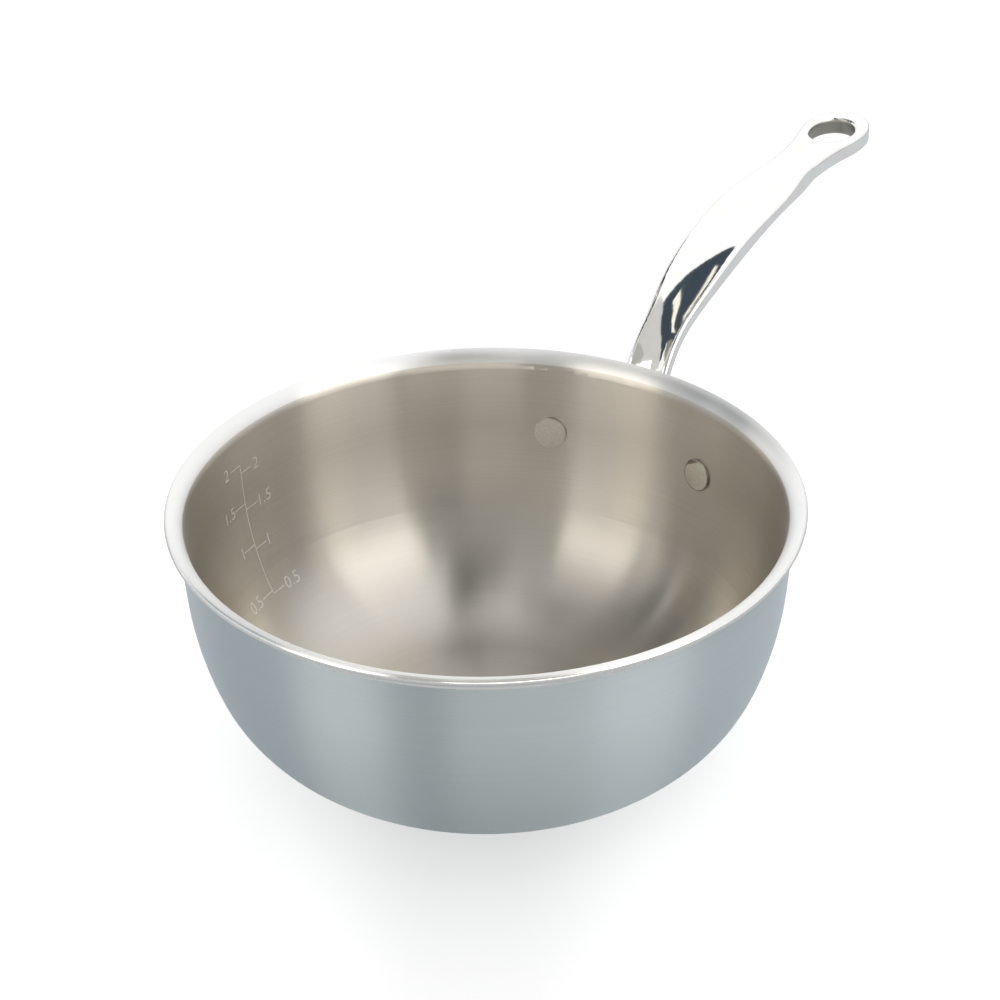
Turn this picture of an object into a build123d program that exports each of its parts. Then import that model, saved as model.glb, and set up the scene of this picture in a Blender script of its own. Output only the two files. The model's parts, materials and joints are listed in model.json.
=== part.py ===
from build123d import *
from math import acos, asin, cos, degrees, radians, sin, tan
import os

# A saucier pan: a round-bottomed bowl of three bonded sheets with a flared pouring lip,
# and a cast handle whose plate is held to the wall by two rivets.
# The origin is the centre of the flat base, +Z is the pan's axis and +Y runs out along the handle.

# Bowl: its section runs from the flat base round a corner arc, a slower side arc and a straight
# upright, and ends in the flare of the lip. Radii are those of the outer face.
rim_radius = 109.5
rim_height = 93.0
corner_radius = 52.5
corner_turn = 69.0
side_radius = 115.0
side_turn = 16.0
flare_radius = 3.6
flare_turn = 80.0
lip_land = 0.3
edge_bulge = 0.7

# The three bonded sheets
outer_skin_thickness = 0.5
core_thickness = 1.6
cooking_skin_thickness = 0.5

# Rivets: the head lies flat inside the pan, the shank's other end is upset on the handle's plate
rivet_height = 63.0
rivet_spread = 17.9
shank_radius = 3.2
head_radius = 6.0
head_height = 1.9
head_edge_height = 1.0
upset_radius = 5.2
upset_height = 1.7
upset_edge_height = 0.6

# Plate of the handle, against the outside of the wall
plate_thickness = 4.0
plate_end_radius = 10.5
plate_rounding = 0.8

# Handle: how far it runs out from the rim and rises above it, then its widths and depths
handle_length = 171.0
handle_rise = 32.8
grip_width = 23.7
grip_depth = 8.6
neck_width = 17.4
trough_depth = 1.8
belly_depth = 2.8
edge_rounding = 1.5
root_blend = 2.5

# Eye: the flat end with the hanging hole
neck_to_tip = 51.5
eye_width = 25.0
eye_depth = 7.0
eye_cap_length = 16.5
hole_length = 21.8
hole_width = 16.4
hole_to_tip = 19.5

# One overrun for every cut that passes right through
overrun = 20.0

# Stations of the stem, from inside the plate to the last before the neck. Each row has the share of
# the reach from wall to neck, the share of the rise from rivets to grip, the slope in degrees, and
# the shares of the grip's width, of its depth and of its trough and belly.
stem_shares = (
    (-0.004, -0.100, 83, 0.80, 0.37, 0.20),
    (0.013, 0.165, 80, 0.76, 0.76, 0.50),
    (0.036, 0.345, 67, 0.72, 0.92, 0.90),
    (0.068, 0.455, 53, 0.71, 0.93, 1.00),
    (0.120, 0.572, 41, 0.70, 0.94, 1.00),
    (0.188, 0.672, 31, 0.72, 0.97, 1.00),
    (0.307, 0.800, 25, 0.87, 1.02, 1.00),
    (0.451, 0.905, 15, 0.95, 1.12, 1.00),
    (0.642, 0.975, 6, 1.00, 1.00, 1.00),
    (0.833, 0.999, 1, 0.91, 0.94, 0.60),
)
# Where the stem meets the flat eye, its trough and its belly have run out
neck_hollow_share = 0
# Where the eye's side has grown by half, on the way from the neck to its widest place
eye_flank_share = 0.62
# The stem's corners are rounded by at most this much of a section's side
section_rounding_share = 1 / 3
# A face of the plate looks outward when this much of its unit normal lies along the handle
outward_share = 0.7

# Heights and reaches along the bowl's section, which leave the flat base its radius
wall_thickness = outer_skin_thickness + core_thickness + cooking_skin_thickness
wall_lean = radians(corner_turn + side_turn)
corner_lean = radians(corner_turn)
lip_lean = wall_lean - radians(flare_turn)
corner_rise = corner_radius * (1 - cos(corner_lean))
side_top = corner_rise + side_radius * (cos(corner_lean) - cos(wall_lean))
flare_rise = (flare_radius + wall_thickness) * cos(lip_lean) - flare_radius * cos(wall_lean)
upright_rise = rim_height - side_top - flare_rise - lip_land * sin(lip_lean)
upright_length = upright_rise / sin(wall_lean)
flare_reach = flare_radius * (sin(wall_lean) - sin(lip_lean))
lip_reach = (lip_land + edge_bulge) * cos(lip_lean)
upright_top_radius = rim_radius - lip_reach - flare_reach
side_top_radius = upright_top_radius - upright_rise / tan(wall_lean)
side_reach = side_radius * (sin(wall_lean) - sin(corner_lean))
base_radius = side_top_radius - side_reach - corner_radius * sin(corner_lean)


def wall_line(depth):
    """Draw the bowl's section at a depth below its outer face, from the axis to the flare."""
    floor = Line((0, depth), (base_radius, depth))
    corner = JernArc(floor @ 1, floor % 1, corner_radius - depth, corner_turn)
    side = JernArc(corner @ 1, corner % 1, side_radius - depth, side_turn)
    return Line(side @ 1, side @ 1 + (side % 1) * upright_length)


def lip_end(depth):
    """Where the lip ends at a depth: its cut edge is rounded and stands out most in the middle."""
    swell = edge_bulge * (1 - (2 * depth / wall_thickness - 1) ** 2)
    radius = flare_radius + depth
    return (
        upright_top_radius + flare_radius * sin(wall_lean) - radius * sin(lip_lean)
        + (lip_land + swell) * cos(lip_lean),
        side_top + upright_rise - flare_radius * cos(wall_lean) + radius * cos(lip_lean)
        + (lip_land + swell) * sin(lip_lean),
    )


def lip_line(upright, depth):
    """Draw the flare of the lip and its straight land at a depth."""
    flare = JernArc(upright @ 1, upright % 1, flare_radius + depth, -flare_turn)
    Line(flare @ 1, lip_end(depth))


def wall_seat(height):
    """Radius and lean of the wall's outer face at a height on its side arc or its upright."""
    if height > side_top:
        return side_top_radius + (height - side_top) / tan(wall_lean), wall_lean
    lean = acos(cos(corner_lean) - (height - corner_rise) / side_radius)
    return side_top_radius - side_radius * (sin(wall_lean) - sin(lean)), lean


def rivet_plane(side):
    """Plane on the wall's outer face at one rivet, its Z axis straight out of the wall."""
    azimuth = radians(90 + side * rivet_spread)
    outward = Vector(cos(azimuth), sin(azimuth), 0)
    return Plane(
        origin=outward * seat_radius + Vector(0, 0, rivet_height),
        x_dir=(-sin(azimuth), cos(azimuth), 0),
        z_dir=outward * sin(seat_lean) - Vector(0, 0, cos(seat_lean)),
    )


def dome_arc(radius, height, rise, way):
    """Draw half the section of a shallow dome, from its top on the axis out to its edge."""
    ball_radius = (radius**2 + rise**2) / (2 * rise)
    half_angle = degrees(asin(radius / ball_radius))
    centre = (0, height + way * (rise - ball_radius))
    return CenterArc(centre, ball_radius, way * 90, -way * half_angle)


def bowed_line(half_width, height, bow):
    """Draw a line across the stem's section that dips by a bow in its middle, or stays straight."""
    if bow == 0:
        return Line((-half_width, height), (half_width, height))
    return ThreePointArc((-half_width, height), (0, height - bow), (half_width, height))


seat_radius, seat_lean = wall_seat(rivet_height)
rivet_planes = {"rivet_left": rivet_plane(1), "rivet_right": rivet_plane(-1)}
rivet_seats = [plane.location for plane in rivet_planes.values()]
rivet_offset = seat_radius * sin(radians(rivet_spread))
os.makedirs("parts", exist_ok=True)

# The three sheets of the bowl, from the outside in, each a revolved strip of the wall's section
outer_depth = 0
for sheet_name, sheet_thickness in (
    ("outer_skin", outer_skin_thickness),
    ("aluminium_core", core_thickness),
    ("cooking_skin", cooking_skin_thickness),
):
    inner_depth = outer_depth + sheet_thickness
    middle_depth = (outer_depth + inner_depth) / 2
    with BuildPart() as sheet:
        with BuildSketch(Plane.XZ):
            with BuildLine():
                lip_line(wall_line(outer_depth), outer_depth)
                lip_line(wall_line(inner_depth), inner_depth)
                Line((0, outer_depth), (0, inner_depth))
                ThreePointArc(lip_end(outer_depth), lip_end(middle_depth), lip_end(inner_depth))
            make_face()
        revolve(axis=Axis.Z)
        with Locations(rivet_seats):
            Cylinder(shank_radius, overrun, mode=Mode.SUBTRACT)
    sheet.part.label = sheet_name
    export_step(sheet.part, f"parts/{sheet_name}.step")
    outer_depth = inner_depth

# Plate of the handle: a patch of shell that follows the outside of the wall, round at the rivets.
# Its outward edges, which only one outward face has, are rounded off.
with BuildPart() as plate:
    with BuildSketch(Plane.XZ):
        with BuildLine():
            outside = wall_line(-plate_thickness)
            inside = wall_line(0)
            Line((0, -plate_thickness), (0, 0))
            Line(outside @ 1, inside @ 1)
        make_face()
    revolve(axis=Axis.Z)
    with BuildSketch(Plane.XZ):
        with Locations((0, rivet_height)):
            SlotCenterToCenter(2 * rivet_offset, 2 * plate_end_radius)
    extrude(amount=-rim_radius, mode=Mode.INTERSECT)
    outer_faces = plate.faces().filter_by(lambda face: face.normal_at().Y > outward_share)
    outer_edges = outer_faces.edges()
    fillet([edge for edge in outer_edges if outer_edges.count(edge) == 1], plate_rounding)

# Cast handle
tip_reach = rim_radius + handle_length
neck_reach = tip_reach - neck_to_tip
eye_reach = tip_reach - eye_cap_length
grip_height = rim_height + handle_rise

with BuildPart() as handle:
    # Flat eye with its hanging hole, from the neck to the tip
    with BuildSketch(Plane.XY.offset(grip_height)):
        with BuildLine():
            flank = Spline(
                (neck_width / 2, neck_reach),
                ((neck_width + eye_width) / 4, neck_reach + eye_flank_share * (eye_reach - neck_reach)),
                (eye_width / 2, eye_reach),
                tangents=((0, 1), (0, 1)),
            )
            mirror(flank, about=Plane.YZ)
            EllipticalCenterArc(
                (0, eye_reach), eye_width / 2, eye_cap_length, start_angle=0, arc_size=180
            )
            Line((-neck_width / 2, neck_reach), (neck_width / 2, neck_reach))
        make_face()
        with Locations((0, tip_reach - hole_to_tip)):
            Ellipse(hole_width / 2, hole_length / 2, mode=Mode.SUBTRACT)
    extrude(amount=-eye_depth)
    rims = handle.faces().filter_by(Axis.Z).edges()
    fillet(rims.filter_by_position(Axis.Y, neck_reach + edge_rounding, tip_reach), edge_rounding)

    # Stem: a trough with rounded rims and a belly below, lofted from inside the plate to the neck
    neck_row = (1, 1, 0, neck_width / grip_width, eye_depth / grip_depth, neck_hollow_share)
    for reach, rise, slope, width, depth, hollow in stem_shares + (neck_row,):
        slope = radians(slope)
        half_width = width * grip_width / 2
        side_foot = depth * grip_depth - hollow * belly_depth
        station = Plane(
            origin=(
                0,
                seat_radius + reach * (neck_reach - seat_radius),
                rivet_height + rise * (grip_height - rivet_height),
            ),
            x_dir=(-1, 0, 0),
            z_dir=(0, cos(slope), sin(slope)),
        )
        with BuildSketch(station):
            with BuildLine():
                top = bowed_line(half_width, 0, hollow * trough_depth)
                belly = bowed_line(half_width, -side_foot, hollow * belly_depth)
                Line(top @ 0, belly @ 0)
                Line(top @ 1, belly @ 1)
            section = make_face()
            fillet(section.vertices(), min(edge_rounding, section_rounding_share * side_foot))
    loft()

    add(plate.part)
    fillet(handle.edges(Select.NEW), root_blend)
    with Locations(rivet_seats):
        Cylinder(shank_radius, overrun, mode=Mode.SUBTRACT)
handle.part.label = "handle"
export_step(handle.part, "parts/handle.step")

# Everything that the rivets hold, as one unbroken shell, which shapes the seats of their two ends
with BuildPart() as held_shell:
    with BuildSketch(Plane.XZ):
        with BuildLine():
            outside = wall_line(-plate_thickness)
            inside = wall_line(wall_thickness)
            Line((0, -plate_thickness), (0, wall_thickness))
            Line(outside @ 1, inside @ 1)
        make_face()
    revolve(axis=Axis.Z)

# Rivets: a slightly domed head inside the pan and an upset end outside the plate, both pressed to
# the curve that they hold, on a shank that fills its holes
head_side = -wall_thickness - head_edge_height
upset_side = plate_thickness + upset_edge_height
for rivet_name, plane in rivet_planes.items():
    profile_plane = Plane(plane.origin, x_dir=plane.x_dir, z_dir=plane.x_dir.cross(plane.z_dir))
    with BuildPart() as rivet:
        with BuildSketch(profile_plane):
            with BuildLine():
                head_dome = dome_arc(head_radius, head_side, head_height - head_edge_height, -1)
                upset_dome = dome_arc(upset_radius, upset_side, upset_height - upset_edge_height, 1)
                Polyline(
                    (head_radius, head_side),
                    (head_radius, 0),
                    (upset_radius, 0),
                    (upset_radius, upset_side),
                )
                Line(head_dome @ 0, upset_dome @ 0)
            make_face()
        revolve(axis=Axis(plane.origin, plane.z_dir))
        add(held_shell.part, mode=Mode.SUBTRACT)
        with Locations(plane.offset(head_side).location):
            Cylinder(shank_radius, upset_side - head_side, align=(Align.CENTER, Align.CENTER, Align.MIN))
    rivet.part.label = rivet_name
    export_step(rivet.part, f"parts/{rivet_name}.step")
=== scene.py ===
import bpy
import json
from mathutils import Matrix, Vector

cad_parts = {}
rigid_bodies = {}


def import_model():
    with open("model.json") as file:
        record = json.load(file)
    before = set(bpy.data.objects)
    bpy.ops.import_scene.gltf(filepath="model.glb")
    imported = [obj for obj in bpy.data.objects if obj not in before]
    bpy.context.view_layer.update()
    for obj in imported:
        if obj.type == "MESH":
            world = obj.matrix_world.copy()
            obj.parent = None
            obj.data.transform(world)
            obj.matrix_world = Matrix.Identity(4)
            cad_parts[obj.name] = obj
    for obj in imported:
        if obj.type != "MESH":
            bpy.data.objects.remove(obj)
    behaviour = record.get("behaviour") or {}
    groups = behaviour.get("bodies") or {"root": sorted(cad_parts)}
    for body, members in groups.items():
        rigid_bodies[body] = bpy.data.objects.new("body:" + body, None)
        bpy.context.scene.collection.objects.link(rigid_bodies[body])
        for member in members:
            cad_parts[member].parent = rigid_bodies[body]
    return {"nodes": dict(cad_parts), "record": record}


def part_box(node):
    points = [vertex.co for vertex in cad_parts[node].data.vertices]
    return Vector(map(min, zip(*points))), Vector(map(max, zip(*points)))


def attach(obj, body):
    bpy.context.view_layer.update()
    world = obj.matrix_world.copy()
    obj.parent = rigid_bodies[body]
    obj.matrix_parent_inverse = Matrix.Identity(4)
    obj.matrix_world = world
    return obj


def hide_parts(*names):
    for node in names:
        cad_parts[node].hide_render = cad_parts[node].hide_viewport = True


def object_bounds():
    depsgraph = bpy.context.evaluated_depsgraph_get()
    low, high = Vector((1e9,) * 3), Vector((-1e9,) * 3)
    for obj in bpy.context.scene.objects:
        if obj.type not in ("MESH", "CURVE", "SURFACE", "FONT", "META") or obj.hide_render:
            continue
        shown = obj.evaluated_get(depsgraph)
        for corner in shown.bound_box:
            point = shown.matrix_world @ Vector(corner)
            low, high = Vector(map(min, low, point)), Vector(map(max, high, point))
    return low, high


bl_info = {
    "name": "Saucier Pan",
    "version": (1, 0, 0),
    "blender": (4, 5, 0),
    "location": "View3D > Sidebar > Saucier Pan",
    "description": "Finishes a clad saucier pan and sets it in a plain studio",
    "category": "Object",
}

import json
from math import cos, pi, radians, sin

import bpy
from mathutils import Matrix, Vector

for leftover in list(bpy.data.objects):
    bpy.data.objects.remove(leftover)
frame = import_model()
CAD_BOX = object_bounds()

BODY = "root"
MM = 0.001
RIM_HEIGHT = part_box("cooking_skin")[1].z
LITRE = 0.001
QUART = 0.946353 * LITRE


def linear(hex_colour):
    """Turn an sRGB hex colour into the linear one that Blender's sockets hold."""
    channels = [int(hex_colour[start:start + 2], 16) / 255 for start in (1, 3, 5)]
    return [c / 12.92 if c <= 0.04045 else ((c + 0.055) / 1.055) ** 2.4 for c in channels]


def colour_setting(name, description, hex_colour):
    """A colour that a user can change, with its default given as sRGB hex."""
    return bpy.props.FloatVectorProperty(
        name=name, description=description, subtype="COLOR", size=3, min=0, max=1, default=linear(hex_colour)
    )


def length_setting(name, description, millimetres):
    """A length that a user can change, with its default given in millimetres."""
    return bpy.props.FloatProperty(
        name=name, description=description, unit="LENGTH", min=0, default=millimetres * MM
    )


def angle_setting(name, description, degrees):
    """An angle that a user can change, with its default given in degrees."""
    return bpy.props.FloatProperty(name=name, description=description, subtype="ANGLE", default=radians(degrees))


def level_setting(name, description, level):
    """A light level that a user can change, where 1 shows a white thing as white."""
    return bpy.props.FloatProperty(name=name, description=description, min=0, default=level)


class SaucierFinish(bpy.types.PropertyGroup):
    """Colours and sizes of the pan's metal finishes."""

    inside_colour: colour_setting("Inside", "Brushed steel inside the bowl", "#d6d2cb")
    inside_tan: colour_setting("Inside tint", "Warmer streaks in the brushing inside", "#d1ccc4")
    # The outside's cool blue-grey is partly the satin steel's own tone and partly a painted reflection of blue-grey
    # surroundings
    outside_and_reflection_colour: colour_setting("Outside", "Satin steel outside the bowl", "#d0dade")
    outside_and_reflection_tint: colour_setting("Outside tint", "Cooler streaks in the satin outside", "#cbd6dc")
    polish_colour: colour_setting("Polish", "Polished steel of the lip", "#fbfbfa")
    cast_colour: colour_setting("Casting", "Polished cast steel of the handle", "#f5f4f1")
    rivet_colour: colour_setting("Rivets", "Satin steel of the rivets", "#f1eee7")
    drilled_colour: colour_setting("Drilled hole", "Wall of the hanging hole", "#a9a7a0")
    # Painted shade: a darker colour on the rivets' rounded edges, for the thin dark outline round each head
    edge_shade_colour: colour_setting("Rivet edges", "Darkened edges of the rivets' heads", "#8f8a80")
    core_colour: colour_setting("Core", "Aluminium between the skins", "#eeeeec")
    mark_colour: colour_setting("Marks", "Etched volume marks", "#e4e0d6")
    polish_depth: length_setting("Polished lip", "How far the polish reaches down from the rim inside", 3.4)
    brushing_pitch: length_setting("Brushing pitch", "Space between the brush lines inside", 0.3)
    satin_pitch: length_setting("Satin pitch", "Space between the satin lines outside", 0.35)
    hole_length: length_setting("Hole length", "The hanging hole along the handle", 21.8)
    hole_width: length_setting("Hole width", "The hanging hole across the handle", 16.4)


class SaucierMarks(bpy.types.PropertyGroup):
    """Sizes of the volume marks etched into the inside of the wall."""

    azimuth: angle_setting("Place round the wall", "Where the marks' upright line stands, from +X", 181.1)
    stroke: length_setting("Stroke", "Width of an etched line", 0.32)
    tick: length_setting("Tick", "Length of a tick beside the upright line", 6.5)
    number_height: length_setting("Number height", "Height of the numbers", 4.6)
    number_gap: length_setting("Number gap", "Space between a tick and its number", 1.0)
    relief: length_setting("Relief", "How far the etched marks stand off the wall", 0.03)


class SaucierRivets(bpy.types.PropertyGroup):
    """Sizes of the two turned rivets and of what they hold."""

    height: length_setting("Height", "How high the rivets sit above the base", 63)
    spread: angle_setting("Spread", "How far each rivet stands from the handle's middle", 17.9)
    head_radius: length_setting("Head radius", "Radius of the flat head inside the pan", 6.0)
    head_height: length_setting("Head height", "Height of the head with its seat", 1.4)
    edge: length_setting("Edge", "Rounding of the head's edges", 0.45)
    tail_radius: length_setting("Tail radius", "Radius of the upset end on the plate", 5.2)
    tail_edge: length_setting("Tail edge", "Rounding of the upset end's edge", 0.8)
    tail_height: length_setting("Tail height", "Height of the upset end with its seat", 2.0)
    shank_radius: length_setting("Shank radius", "Radius of the shank", 3.2)
    wall: length_setting("Wall", "Thickness of the bonded wall", 2.6)
    plate: length_setting("Plate", "Thickness of the handle's plate", 4.0)
    seat: length_setting("Seat", "How deep an end is pressed into the curve that it holds", 0.25)


class SaucierStudio(bpy.types.PropertyGroup):
    """The camera's place and the light of the studio."""

    camera_distance: length_setting("Camera distance", "From the camera to the point that it looks at", 1150)
    camera_azimuth: angle_setting("Camera azimuth", "How far the view is turned from +Y towards -X", 31.72)
    camera_elevation: angle_setting("Camera elevation", "How far the camera looks down", 31.14)
    camera_roll: angle_setting("Camera roll", "How far the camera leans to its right", 0.96)
    aim_right: length_setting("Aim right", "How far right of the pan's axis the camera aims", 4.85)
    lens: bpy.props.FloatProperty(
        name="Lens", description="Focal length in millimetres on a sensor 36 mm wide", min=1, default=121.62
    )
    floor_level: level_setting("Floor", "How light the floor shows besides its own shading", 0.61)
    sky_level: level_setting("Sky", "Light that the surroundings give to matt things", 0.62)
    key_level: level_setting("Key", "Strength of the soft key light", 1.6)


def settings(group):
    """One of the pan's groups of settings in this scene."""
    return getattr(bpy.context.scene, f"saucier_{group}")


def add_node(tree, kind, inputs=None, **properties):
    """Add a node with its settings. Each input is a value, or another node's output that is linked to it."""
    node = tree.nodes.new(kind)
    for name, value in properties.items():
        setattr(node, name, value)
    for socket, value in (inputs or {}).items():
        if isinstance(value, bpy.types.NodeSocket):
            tree.links.new(value, node.inputs[socket])
        else:
            node.inputs[socket].default_value = value
    return node


def new_material(name):
    """An empty node material and its tree, with the output node in place."""
    material = bpy.data.materials.new(name)
    material.use_nodes = True
    material.node_tree.nodes.clear()
    return material, material.node_tree


def close_material(tree, shader):
    """Link the finished shader to the material's output."""
    add_node(tree, "ShaderNodeOutputMaterial", {"Surface": shader})


def wear(obj, material):
    """Give an object this one material."""
    obj.data.materials.clear()
    obj.data.materials.append(material)


def brushing(tree, pitch, length):
    """
    Streaks that run round the pan's axis, as a spinning wheel leaves them.

    Returns the point's parts, the direction round the axis and the streak pattern. A streak is
    length long and pitch wide: the profile is the sum of radius and height, which grows along
    floor and wall alike.
    """
    point = add_node(tree, "ShaderNodeTexCoord").outputs["Object"]
    parts = add_node(tree, "ShaderNodeSeparateXYZ", {0: point}).outputs
    flat = add_node(tree, "ShaderNodeCombineXYZ", {"X": parts["X"], "Y": parts["Y"]}).outputs[0]
    radius = add_node(tree, "ShaderNodeVectorMath", {0: flat}, operation="LENGTH").outputs["Value"]
    profile = add_node(tree, "ShaderNodeMath", {0: radius, 1: parts["Z"]}).outputs[0]
    outward = add_node(tree, "ShaderNodeVectorMath", {0: flat}, operation="NORMALIZE").outputs[0]
    round_parts = add_node(tree, "ShaderNodeSeparateXYZ", {0: outward}).outputs
    turns = CAD_BOX[1][0] / length
    across = add_node(tree, "ShaderNodeMath", {0: profile, 1: 1 / pitch}, operation="MULTIPLY").outputs[0]
    along_x = add_node(tree, "ShaderNodeMath", {0: round_parts["X"], 1: turns}, operation="MULTIPLY").outputs[0]
    along_y = add_node(tree, "ShaderNodeMath", {0: round_parts["Y"], 1: turns}, operation="MULTIPLY").outputs[0]
    place = add_node(tree, "ShaderNodeCombineXYZ", {"X": along_x, "Y": along_y, "Z": across}).outputs[0]
    streaks = add_node(
        tree, "ShaderNodeTexNoise", {"Vector": place, "Scale": 1, "Detail": 3, "Roughness": 0.7}
    ).outputs["Fac"]
    around = add_node(
        tree, "ShaderNodeVectorMath", {0: (0, 0, 1), 1: outward}, operation="CROSS_PRODUCT"
    ).outputs[0]
    return parts, around, streaks


def shift(tree, value, source, target):
    """Move a value from one range into another, held at its ends."""
    return add_node(
        tree, "ShaderNodeMapRange",
        {"Value": value, "From Min": source[0], "From Max": source[1], "To Min": target[0], "To Max": target[1]},
    ).outputs[0]


def blend_colours(tree, factor, first, second):
    """A colour between two others."""
    return add_node(
        tree, "ShaderNodeMix", {"Factor": factor, "A": (*first, 1), "B": (*second, 1)}, data_type="RGBA"
    ).outputs["Result"]


def brushed_steel(
    name, colours, polish, pitch, length, roughness, spread, polish_roughness, polished_from, line_depth
):
    """
    Stainless steel brushed round the axis, with the lip polished bright above a height.

    Brushing spreads a reflection across the lines, up and down the wall, which the anisotropy gives.
    """
    material, tree = new_material(name)
    parts, around, streaks = brushing(tree, pitch, length)
    edge = 0.15 * MM
    polished = shift(tree, parts["Z"], (polished_from - edge, polished_from + edge), (0, 1))
    metal = blend_colours(tree, shift(tree, streaks, (0.35, 0.65), (0, 1)), *colours)
    colour = add_node(
        tree, "ShaderNodeMix", {"Factor": polished, "A": metal, "B": (*polish, 1)}, data_type="RGBA"
    ).outputs["Result"]
    grain = shift(tree, streaks, (0.3, 0.7), roughness)
    dullness = add_node(tree, "ShaderNodeMix", {"Factor": polished, "A": grain, "B": polish_roughness}).outputs["Result"]
    depth = add_node(tree, "ShaderNodeMix", {"Factor": polished, "A": 0.02, "B": 0.0}).outputs["Result"]
    lines = add_node(
        tree, "ShaderNodeBump", {"Strength": depth, "Distance": line_depth, "Height": streaks}
    ).outputs[0]
    steel = add_node(tree, "ShaderNodeBsdfPrincipled", {
        "Base Color": colour,
        "Metallic": 1,
        "Roughness": dullness,
        "Anisotropic": spread,
        "Anisotropic Rotation": 0.25,
        "Tangent": around,
        "Normal": lines,
    })
    close_material(tree, steel.outputs[0])
    return material


def plain_metal(name, colours, roughness, grain, line_depth, metallic=1):
    """A metal whose colour, dullness and surface vary in a fine even grain."""
    material, tree = new_material(name)
    point = add_node(tree, "ShaderNodeTexCoord").outputs["Object"]
    noise = add_node(
        tree, "ShaderNodeTexNoise", {"Vector": point, "Scale": 1 / grain, "Detail": 4, "Roughness": 0.6}
    ).outputs["Fac"]
    colour = blend_colours(tree, shift(tree, noise, (0.35, 0.65), (0, 1)), *colours)
    dullness = shift(tree, noise, (0.3, 0.7), roughness)
    surface = add_node(
        tree, "ShaderNodeBump", {"Strength": 0.5, "Distance": line_depth, "Height": noise}
    ).outputs[0]
    metal = add_node(tree, "ShaderNodeBsdfPrincipled", {
        "Base Color": colour, "Metallic": metallic, "Roughness": dullness, "Normal": surface,
    })
    close_material(tree, metal.outputs[0])
    return material


def cast_metal(name, finish):
    """Cast steel with a slow wave left by the polishing, and the drill's grey in the hanging hole."""
    material, tree = new_material(name)
    point = add_node(tree, "ShaderNodeTexCoord").outputs["Object"]
    parts = add_node(tree, "ShaderNodeSeparateXYZ", {0: point}).outputs
    centre = next(mount["pos_m"] for mount in frame["record"]["mounts"] if mount["name"] == "hanging_hole")
    margin = 0.2 * MM
    along = add_node(tree, "ShaderNodeMath", {0: parts["Y"], 1: centre[1]}, operation="SUBTRACT").outputs[0]
    along = add_node(
        tree, "ShaderNodeMath", {0: along, 1: finish.hole_length / 2 + margin}, operation="DIVIDE"
    ).outputs[0]
    across = add_node(
        tree, "ShaderNodeMath", {0: parts["X"], 1: finish.hole_width / 2 + margin}, operation="DIVIDE"
    ).outputs[0]
    place = add_node(tree, "ShaderNodeCombineXYZ", {"X": across, "Y": along}).outputs[0]
    reach = add_node(tree, "ShaderNodeVectorMath", {0: place}, operation="LENGTH").outputs["Value"]
    drilled = shift(tree, reach, (1.0, 1.01), (1, 0))
    wave = add_node(
        tree, "ShaderNodeTexNoise", {"Vector": point, "Scale": 1 / (9 * MM), "Detail": 4, "Roughness": 0.6}
    ).outputs["Fac"]
    polish = blend_colours(tree, shift(tree, wave, (0.35, 0.65), (0, 1)), finish.cast_colour, finish.polish_colour)
    colour = add_node(
        tree, "ShaderNodeMix", {"Factor": drilled, "A": polish, "B": (*finish.drilled_colour, 1)}, data_type="RGBA"
    ).outputs["Result"]
    gloss = shift(tree, wave, (0.3, 0.7), (0.05, 0.09))
    dullness = add_node(tree, "ShaderNodeMix", {"Factor": drilled, "A": gloss, "B": 0.42}).outputs["Result"]
    surface = add_node(
        tree, "ShaderNodeBump", {"Strength": 0.5, "Distance": 0.05 * MM, "Height": wave}
    ).outputs[0]
    steel = add_node(tree, "ShaderNodeBsdfPrincipled", {
        "Base Color": colour, "Metallic": 1, "Roughness": dullness, "Normal": surface,
    })
    close_material(tree, steel.outputs[0])
    return material


class OBJECT_OT_saucier_bowl(bpy.types.Operator):
    """Finish the three sheets of the bowl"""

    bl_idname = "object.saucier_bowl"
    bl_label = "Finish Bowl"

    def execute(self, context):
        finish = settings("finish")
        polished_from = RIM_HEIGHT - finish.polish_depth
        # Stainless steel 18/10, brushed by a wheel inside the spinning bowl: soft streaks round the axis
        inside = brushed_steel(
            "brushed_stainless_steel", (finish.inside_colour, finish.inside_tan), finish.polish_colour,
            finish.brushing_pitch, 60 * MM, (0.275, 0.285), 1.0, 0.36, polished_from, 0.01 * MM,
        )
        # Magnetic stainless steel, satin finished outside: finer, almost no streaks, and cooler, its blue-grey partly
        # the steel's own tone and partly a painted reflection of blue-grey surroundings
        outside = brushed_steel(
            "satin_stainless_steel", (finish.outside_and_reflection_colour, finish.outside_and_reflection_tint), finish.polish_colour,
            finish.satin_pitch, 90 * MM, (0.40, 0.42), 0.96, 0.12, RIM_HEIGHT - 6 * MM, 0.006 * MM,
        )
        # Aluminium, cut and polished with the lip: a pale line in the edge
        core = plain_metal(
            "cut_aluminium", (finish.core_colour, finish.polish_colour), (0.13, 0.15), 1.2 * MM, 0.0005 * MM
        )
        wear(frame["nodes"]["cooking_skin"], inside)
        wear(frame["nodes"]["outer_skin"], outside)
        wear(frame["nodes"]["aluminium_core"], core)
        return {"FINISHED"}


def wall_point(azimuth, height):
    """
    Point and inward normal of the bowl's inner face at an azimuth and a height.

    The bowl is round, so both are found opposite the handle, clear of the rivets' holes, and turned.
    """
    away = Vector((0, -1, 0))
    found, point, normal, _ = frame["nodes"]["cooking_skin"].ray_cast(Vector((0, 0, height)), away)
    if not found:
        raise RuntimeError(f"the wall has no inner face at height {height}")
    turn = Matrix.Rotation(azimuth + pi / 2, 3, "Z")
    return turn @ point, turn @ (normal if normal.dot(away) < 0 else -normal)


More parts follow.
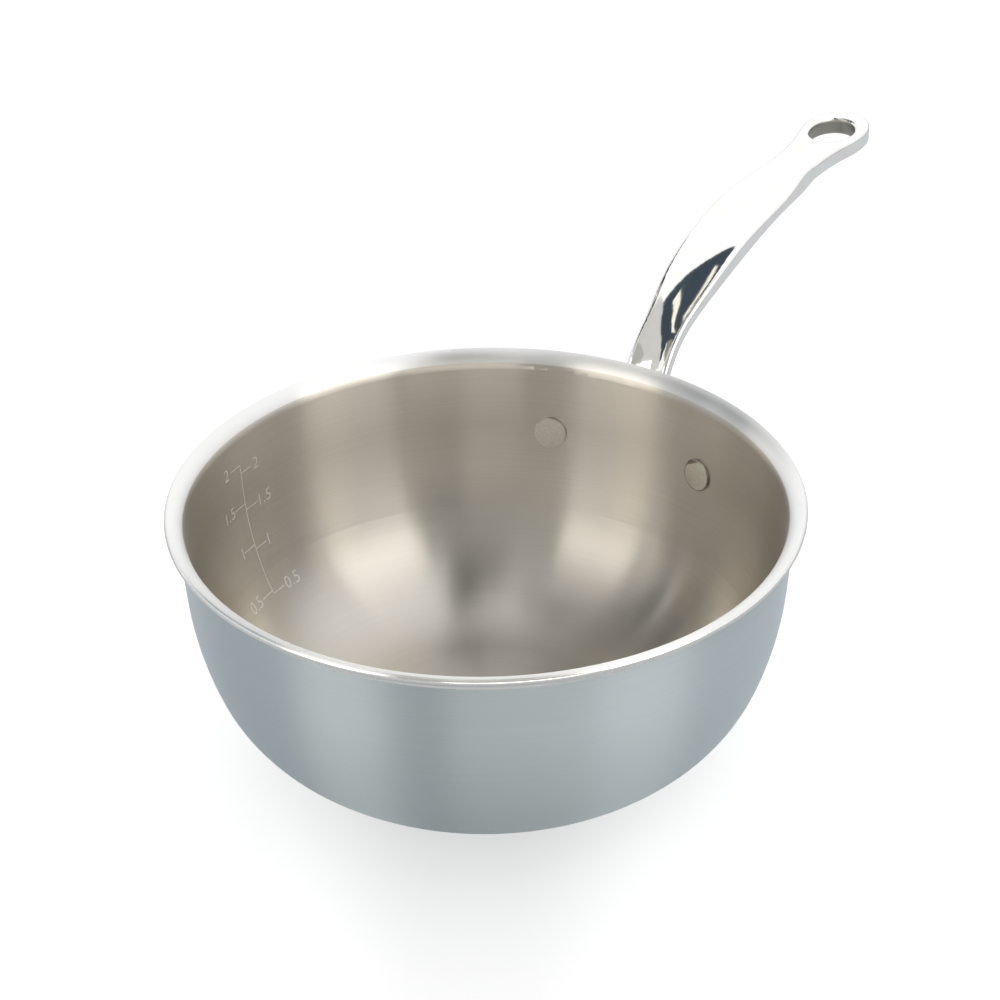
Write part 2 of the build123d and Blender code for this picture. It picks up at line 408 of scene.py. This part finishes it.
def stand_on(obj, point, normal):
    """Stand an object at a point of the wall, its Z along the normal and its Y up the wall."""
    up = (Vector((0, 0, 1)) - normal * normal.z).normalized()
    side = up.cross(normal)
    obj.matrix_world = Matrix.Translation(point) @ Matrix((side, up, normal)).transposed().to_4x4()
    bpy.ops.object.select_all(action="DESELECT")
    obj.select_set(True)
    bpy.context.view_layer.objects.active = obj
    bpy.ops.object.transform_apply(location=True, rotation=True, scale=True)


def join_pieces(shapes, name):
    """Join several shapes into one named piece."""
    bpy.ops.object.select_all(action="DESELECT")
    for shape in shapes:
        shape.select_set(True)
    bpy.context.view_layer.objects.active = shapes[0]
    bpy.ops.object.join()
    piece = bpy.context.object
    piece.name = piece.data.name = name
    return piece


def upset_end(rivet, way, shank_radius, radius, height, edge):
    """Upset one end of a rivet's shank into a flat round head with rounded edges."""
    bpy.ops.object.select_all(action="DESELECT")
    rivet.select_set(True)
    bpy.context.view_layer.objects.active = rivet
    end = max(face.center.z * way for face in rivet.data.polygons)
    for face in rivet.data.polygons:
        face.select = face.center.z * way == end
    steps = 5
    turns = [pi / 2 * step / steps for step in range(steps + 1)]
    under = [(radius - edge * (1 - sin(turn)), edge * (1 - cos(turn))) for turn in turns]
    upper = [(radius - edge * (1 - cos(turn)), height - edge * (1 - sin(turn))) for turn in turns]
    bpy.ops.object.mode_set(mode="EDIT")
    bpy.ops.mesh.select_mode(type="FACE")
    ring, level = shank_radius, 0
    for wider, higher in under + upper:
        bpy.ops.mesh.extrude_region()
        bpy.ops.transform.resize(value=(wider / ring, wider / ring, 1))
        bpy.ops.transform.translate(value=(0, 0, way * (higher - level)))
        ring, level = wider, higher
    bpy.ops.mesh.select_all(action="DESELECT")
    bpy.ops.object.mode_set(mode="OBJECT")


class OBJECT_OT_saucier_handle(bpy.types.Operator):
    """Finish the cast handle and its two rivets"""

    bl_idname = "object.saucier_handle"
    bl_label = "Finish Handle"

    def execute(self, context):
        finish = settings("finish")
        # Cast stainless steel, mirror polished by hand: bright, with a slow wave left by the polishing
        casting = cast_metal("polished_cast_steel", finish)
        # Stainless steel rivets, faced flat and satin
        rivet = plain_metal(
            "satin_rivet_steel", (finish.rivet_colour, finish.inside_colour), (0.30, 0.36), 0.4 * MM, 0.001 * MM
        )
        # The same steel on the heads' rounded edges and sides, darkened as painted shade so that each head shows a
        # thin dark outline, with a roughness of its own
        shaded_edging = plain_metal(
            "rivet_edge_painted_shade", (finish.edge_shade_colour, finish.drilled_colour), (0.20, 0.26), 0.4 * MM, 0.001 * MM
        )
        wear(frame["nodes"]["handle"], casting)
        rivets = settings("rivets")
        for side, way in (("left", 1), ("right", -1)):
            azimuth = radians(90) + way * rivets.spread
            point, normal = wall_point(azimuth, rivets.height)
            held = rivets.wall + rivets.plate
            bpy.ops.object.select_all(action="DESELECT")
            bpy.ops.mesh.primitive_cylinder_add(
                vertices=72, radius=rivets.shank_radius, depth=held - 2 * rivets.seat, location=(0, 0, -held / 2)
            )
            piece = context.object
            piece.name = piece.data.name = f"rivet_{side}_turned"
            bpy.ops.object.transform_apply(location=True, rotation=False, scale=False)
            upset_end(piece, 1, rivets.shank_radius, rivets.head_radius, rivets.head_height, rivets.edge)
            upset_end(piece, -1, rivets.shank_radius, rivets.tail_radius, rivets.tail_height, rivets.tail_edge)
            bpy.ops.object.shade_smooth_by_angle(angle=radians(40))
            stand_on(piece, point, normal)
            wear(piece, rivet)
            piece.data.materials.append(shaded_edging)
            # Faces flat to the wall take the satin steel; all others, the rounded edges and sides, take the painted
            # shade
            for face in piece.data.polygons:
                face.material_index = 0 if abs(face.normal.dot(normal)) > 0.99 else 1
            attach(piece, BODY)
            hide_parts(f"rivet_{side}")
        return {"FINISHED"}


def fill_height(volume, azimuth):
    """Height at which the bowl holds a volume, by adding up thin slices from the floor."""
    found, floor, _, _ = frame["nodes"]["cooking_skin"].ray_cast(Vector((0, 0, RIM_HEIGHT)), Vector((0, 0, -1)))
    slice_height = 0.25 * MM
    height, held = floor.z, 0
    while held < volume:
        height += slice_height
        radius = wall_point(azimuth, height)[0].to_2d().length
        held += pi * radius**2 * slice_height
    return height


def lay_on_wall(obj, azimuth, height, relief):
    """Stand a flat object on the wall, face inwards and top up, and press it to the wall's curve."""
    point, normal = wall_point(azimuth, height)
    stand_on(obj, point + normal * MM, normal)
    wrap = obj.modifiers.new("press to wall", "SHRINKWRAP")
    wrap.target = frame["nodes"]["cooking_skin"]
    wrap.wrap_method = "NEAREST_SURFACEPOINT"
    wrap.wrap_mode = "ABOVE_SURFACE"
    wrap.offset = relief
    bpy.ops.object.modifier_apply(modifier=wrap.name)


def stroke_mark(width, height, across, azimuth, level, relief):
    """One etched stroke, its centre shifted across the wall from the azimuth."""
    bpy.ops.object.select_all(action="DESELECT")
    bpy.ops.mesh.primitive_grid_add(
        x_subdivisions=max(1, round(width / MM)), y_subdivisions=max(1, round(height / MM)), size=1
    )
    stroke = bpy.context.object
    stroke.scale = (width, height, 1)
    bpy.ops.object.transform_apply(location=False, rotation=False, scale=True)
    radius = wall_point(azimuth, level)[0].to_2d().length
    lay_on_wall(stroke, azimuth - across / radius, level, relief)
    return stroke


def number_mark(text, height, across, azimuth, level, relief):
    """One etched number, its near edge shifted across the wall from the azimuth."""
    bpy.ops.object.select_all(action="DESELECT")
    bpy.ops.object.text_add()
    number = bpy.context.object
    number.data.body = text
    number.data.size = height / 0.7
    number.data.align_x = "CENTER"
    number.data.align_y = "CENTER"
    number.data.offset = -0.012 * number.data.size
    number.data.resolution_u = 3
    bpy.ops.object.convert(target="MESH")
    number = bpy.context.object
    half_width = number.dimensions.x / 2
    radius = wall_point(azimuth, level)[0].to_2d().length
    reach = across + (half_width if across > 0 else -half_width)
    lay_on_wall(number, azimuth - reach / radius, level, relief)
    return number


class OBJECT_OT_saucier_marks(bpy.types.Operator):
    """Etch the volume marks into the inside of the wall, litres on the left and quarts on the right"""

    bl_idname = "object.saucier_marks"
    bl_label = "Etch Volume Marks"

    def execute(self, context):
        marks, finish = settings("marks"), settings("finish")
        shapes = []
        heights = []
        for side, unit in ((-1, LITRE), (1, QUART)):
            for volume, text in ((0.5, "0.5"), (1, "1"), (1.5, "1.5"), (2, "2")):
                level = fill_height(volume * unit, marks.azimuth)
                heights.append(level)
                shapes.append(stroke_mark(
                    marks.tick, marks.stroke, side * marks.tick / 2, marks.azimuth, level, marks.relief
                ))
                shapes.append(number_mark(
                    text, marks.number_height, side * (marks.tick + marks.number_gap), marks.azimuth,
                    level, marks.relief,
                ))
        low, high = min(heights), max(heights)
        steps = 8
        for step in range(steps):
            length = (high - low) / steps
            shapes.append(stroke_mark(
                marks.stroke, length, 0, marks.azimuth, low + (step + 0.5) * length, marks.relief
            ))
        etched = join_pieces(shapes, "volume_marks")
        # Steel frosted by the etching: it scatters light as a matt surface does, so it isn't metallic
        wear(etched, plain_metal(
            "etched_steel", (finish.mark_colour, finish.polish_colour), (0.6, 0.7), 0.4 * MM, 0.01 * MM, 0
        ))
        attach(etched, BODY)
        return {"FINISHED"}


def studio_frame():
    """The camera's heading over the floor and its right hand, as level unit vectors."""
    azimuth = settings("studio").camera_azimuth
    return Vector((-sin(azimuth), cos(azimuth), 0)), Vector((cos(azimuth), sin(azimuth), 0))


def glow_material(name, colour, level):
    """A card lit evenly, so that metal shows it as plain colour."""
    material, tree = new_material(name)
    glow = add_node(tree, "ShaderNodeEmission", {"Color": (*colour, 1), "Strength": level})
    close_material(tree, glow.outputs[0])
    return material


def seen_directly(tree):
    """One where the camera, or metal or glass, looks at a surface, and nought where it lights matt things."""
    rays = add_node(tree, "ShaderNodeLightPath").outputs
    shown = add_node(
        tree, "ShaderNodeMath", {0: rays["Is Camera Ray"], 1: rays["Is Glossy Ray"]}, operation="MAXIMUM"
    ).outputs[0]
    return add_node(
        tree, "ShaderNodeMath", {0: shown, 1: rays["Is Transmission Ray"]}, operation="MAXIMUM"
    ).outputs[0]


def hide_card(card):
    """Leave a card to the metal's reflections alone, as part of the studio."""
    card.visible_camera = False
    card.visible_diffuse = False
    card.visible_shadow = False


def add_card(name, turn, elevation, half_width, half_height, distance, colour, level):
    """
    A card that only the metal's reflections show, facing the pan.

    It stands at a turn from the camera's heading, to the right, and at an elevation. Its halves
    are given as angles seen from the pan.
    """
    heading, right = studio_frame()
    level_way = heading * cos(turn) + right * sin(turn)
    way = level_way * cos(elevation) + Vector((0, 0, sin(elevation)))
    bpy.ops.object.select_all(action="DESELECT")
    bpy.ops.mesh.primitive_plane_add(size=2, location=way * distance)
    card = bpy.context.object
    card.name = name
    card.rotation_euler = (-way).to_track_quat("Z", "Y").to_euler()
    card.scale = (distance * half_width, distance * half_height, 1)
    wear(card, glow_material(f"{name}_card", linear(colour), level))
    hide_card(card)


def add_level_card(name, height, corners, colour, level):
    """
    A level card at a height that only the metal's reflections show.

    Each corner says how far it lies ahead of the pan and to its right, in heights of the card.
    """
    heading, right = studio_frame()
    bpy.ops.object.select_all(action="DESELECT")
    bpy.ops.mesh.primitive_circle_add(vertices=len(corners), fill_type="NGON")
    card = bpy.context.object
    card.name = name
    for vertex, (ahead, aside) in zip(card.data.vertices, corners):
        vertex.co = heading * ahead * height + right * aside * height + Vector((0, 0, height))
    wear(card, glow_material(f"{name}_card", linear(colour), level))
    hide_card(card)


class SCENE_OT_saucier_stage(bpy.types.Operator):
    """Set the floor, the surroundings, the lamps, the cards and the camera"""

    bl_idname = "scene.saucier_stage"
    bl_label = "Set Stage"

    def execute(self, context):
        studio = settings("studio")
        self.add_floor(studio)
        self.set_surroundings(context, studio)
        self.add_key(studio)
        self.add_cards()
        self.add_camera(context, studio)
        return {"FINISHED"}

    def add_floor(self, studio):
        """A plain matt floor, grey in its own shading and lifted towards white for the camera, that goes over into
        the background. A painted shadow, a band of weaker glow through the shadow's middle, narrows the shadow
        across.
        """
        bpy.ops.object.select_all(action="DESELECT")
        bpy.ops.mesh.primitive_plane_add(size=40)
        floor = bpy.context.object
        floor.name = "floor"
        material, tree = new_material("paper_with_painted_shadow")
        point = add_node(tree, "ShaderNodeTexCoord").outputs["Object"]
        fibres = add_node(tree, "ShaderNodeTexNoise", {"Vector": point, "Scale": 900, "Detail": 2}).outputs["Fac"]
        # Painted shadow: to the camera the floor glows least in a band through the shadow's middle, 5 mm left of the
        # pan's axis, and 0.12 more from 65 mm out across it, so that the shadow narrows across
        place = add_node(
            tree, "ShaderNodeVectorMath", {0: point, 1: studio_frame()[1]}, operation="DOT_PRODUCT"
        ).outputs["Value"]
        across = add_node(tree, "ShaderNodeMath", {0: place, 1: 5 * MM}, operation="ADD").outputs[0]
        across = add_node(tree, "ShaderNodeMath", {0: across}, operation="ABSOLUTE").outputs[0]
        painted_shadow_level = add_node(tree, "ShaderNodeMapRange", {
            "Value": across, "From Min": 10 * MM, "From Max": 65 * MM,
            "To Min": studio.floor_level, "To Max": studio.floor_level + 0.12,
        }, interpolation_type="SMOOTHSTEP").outputs[0]
        rays = add_node(tree, "ShaderNodeLightPath").outputs
        shown = add_node(tree, "ShaderNodeMath", {0: rays["Is Camera Ray"], 1: painted_shadow_level}, operation="MULTIPLY").outputs[0]
        mirrored = add_node(
            tree, "ShaderNodeMath", {0: rays["Is Glossy Ray"], 1: rays["Is Transmission Ray"]}, operation="MAXIMUM"
        ).outputs[0]
        mirrored = add_node(tree, "ShaderNodeMath", {0: mirrored, 1: 0.13}, operation="MULTIPLY").outputs[0]
        level = add_node(tree, "ShaderNodeMath", {0: shown, 1: mirrored}, operation="ADD").outputs[0]
        paper = add_node(tree, "ShaderNodeBsdfPrincipled", {
            "Base Color": (0.41, 0.41, 0.41, 1),
            "Roughness": shift(tree, fibres, (0.3, 0.7), (0.85, 0.95)),
            "Specular IOR Level": 0,
            "Emission Color": (1, 1, 1, 1),
            "Emission Strength": level,
        })
        close_material(tree, paper.outputs[0])
        wear(floor, material)

    def set_surroundings(self, context, studio):
        """White to the camera and in the metal, and plain soft light for matt things."""
        world = bpy.data.worlds.new("white_surroundings")
        world.use_nodes = True
        context.scene.world = world
        tree = world.node_tree
        tree.nodes.clear()
        seen = seen_directly(tree)
        level = add_node(tree, "ShaderNodeMix", {"Factor": seen, "A": studio.sky_level, "B": 1.0}).outputs["Result"]
        background = add_node(tree, "ShaderNodeBackground", {"Color": (1, 1, 1, 1), "Strength": level})
        add_node(tree, "ShaderNodeOutputWorld", {"Surface": background.outputs[0]})

    def add_key(self, studio):
        """One broad soft light from behind and above, so that the shadow falls towards the camera."""
        heading, right = studio_frame()
        bpy.ops.object.select_all(action="DESELECT")
        bpy.ops.object.light_add(type="SUN")
        key = bpy.context.object
        key.name = "soft_key"
        key.data.energy = studio.key_level
        key.data.angle = radians(90)
        way = heading * 0.5 + right * 0.15 + Vector((0, 0, 1))
        key.rotation_euler = way.to_track_quat("Z", "Y").to_euler()
        key.visible_glossy = False
        key.visible_camera = False

    def add_cards(self):
        """What the metal shows of the room: the gap round the camera, walls, soft boxes and the ceiling."""
        add_card("foreground", radians(172), radians(6), 0.40, 0.20, 2.5, "#f6f1e8", 2.5)
        add_level_card(
            "camera_gap", 18.0,
            (
                (0.05, 0.045), (0.20, 0.10), (0.20, 0.15), (-0.45, 0.20), (-1.0, 0.36), (-2.75, 1.0),
                (-2.75, -0.90), (-1.0, -0.32), (-0.45, -0.12), (-0.12, 0.02),
            ),
            "#3a3936", 1,
        )
        add_card("room_behind", radians(180), radians(30), 0.62, 0.60, 2.8, "#b2b2ae", 1)
        add_card("left_wall", radians(-92), radians(8), 0.50, 0.30, 2.8, "#dce4ea", 1)
        add_card("right_box", radians(126), radians(26), 0.33, 0.45, 2.6, "#fffcf6", 2.1)
        add_card("left_box", radians(-127), radians(22), 0.28, 0.40, 2.6, "#fffaf2", 2.0)
        add_level_card(
            "ceiling_box", 19.0, ((4.0, -0.46), (1.50, -0.46), (0.04, -0.10), (0.04, 1.5), (4.0, 1.5)), "#ffffff", 1.1
        )
        add_level_card(
            "dark_ceiling", 20.0,
            (
                (1.50, -0.46), (0.04, -0.10), (0.04, -1.7), (0.17, -1.7), (0.30, -1.1), (0.75, -1.3), (1.3, -0.8),
            ),
            "#3f4952", 1,
        )
        add_level_card(
            "grey_ceiling", 21.0,
            ((0.06, -0.01), (0.06, -2.0), (-1.4, -2.0), (-1.4, -0.46), (-0.45, -0.12), (-0.12, 0.02)), "#d0cfcc", 1,
        )
        add_level_card(
            "brown_ceiling", 21.0, ((0.35, -1.0), (0.9, -1.0), (0.9, -2.0), (0.35, -2.0)), "#8f8a82", 1
        )
        add_level_card(
            "ceiling_strip_far", 19.0, ((0.85, -0.93), (0.77, -0.88), (1.02, -0.49), (1.10, -0.54)), "#fff8ea", 1.1
        )
        add_level_card(
            "ceiling_strip_near", 19.0, ((0.63, -1.05), (0.53, -0.98), (0.20, -0.29), (0.31, -0.28)), "#fff8ea", 1.1
        )
        add_level_card("side_shade", 0.002, ((60, 90), (60, 300), (320, 300), (320, 90)), "#cdd0d3", 1)

    def add_camera(self, context, studio):
        """A camera at the photograph's viewing angle."""
        heading, right = studio_frame()
        down, roll = studio.camera_elevation, studio.camera_roll
        view = heading * cos(down) - Vector((0, 0, sin(down)))
        above = right.cross(view)
        camera_right = right * cos(roll) - above * sin(roll)
        camera_up = above * cos(roll) + right * sin(roll)
        aim = Vector((0, 0, RIM_HEIGHT)) + right * studio.aim_right
        bpy.ops.object.select_all(action="DESELECT")
        bpy.ops.object.camera_add()
        camera = bpy.context.object
        camera.name = "studio_camera"
        turn = Matrix((camera_right, camera_up, -view)).transposed().to_4x4()
        camera.matrix_world = Matrix.Translation(aim - view * studio.camera_distance) @ turn
        camera.data.lens = studio.lens
        camera.data.sensor_width = 36
        context.scene.camera = camera
        context.scene.view_settings.view_transform = "Standard"


class VIEW3D_PT_saucier(bpy.types.Panel):
    """Lists the pan's operators and settings"""

    bl_label = "Saucier Pan"
    bl_idname = "VIEW3D_PT_saucier"
    bl_space_type = "VIEW_3D"
    bl_region_type = "UI"
    bl_category = "Saucier Pan"

    def draw(self, context):
        for group, operators in GROUPS:
            box = self.layout.box()
            for name in type(settings(group)).__annotations__:
                box.prop(settings(group), name)
            for operator in operators:
                box.operator(operator.bl_idname)


GROUPS = (
    ("finish", (OBJECT_OT_saucier_bowl, OBJECT_OT_saucier_handle)),
    ("rivets", ()),
    ("marks", (OBJECT_OT_saucier_marks,)),
    ("studio", (SCENE_OT_saucier_stage,)),
)
CLASSES = (
    SaucierFinish,
    SaucierRivets,
    SaucierMarks,
    SaucierStudio,
    OBJECT_OT_saucier_bowl,
    OBJECT_OT_saucier_handle,
    OBJECT_OT_saucier_marks,
    SCENE_OT_saucier_stage,
    VIEW3D_PT_saucier,
)


def register():
    for each in CLASSES:
        bpy.utils.register_class(each)
    bpy.types.Scene.saucier_finish = bpy.props.PointerProperty(type=SaucierFinish)
    bpy.types.Scene.saucier_rivets = bpy.props.PointerProperty(type=SaucierRivets)
    bpy.types.Scene.saucier_marks = bpy.props.PointerProperty(type=SaucierMarks)
    bpy.types.Scene.saucier_studio = bpy.props.PointerProperty(type=SaucierStudio)


def unregister():
    del bpy.types.Scene.saucier_studio
    del bpy.types.Scene.saucier_marks
    del bpy.types.Scene.saucier_rivets
    del bpy.types.Scene.saucier_finish
    for each in reversed(CLASSES):
        bpy.utils.unregister_class(each)


def main():
    register()
    bpy.ops.object.saucier_bowl()
    bpy.ops.object.saucier_handle()
    bpy.ops.object.saucier_marks()
    bpy.ops.scene.saucier_stage()


if __name__ == "__main__":
    main()
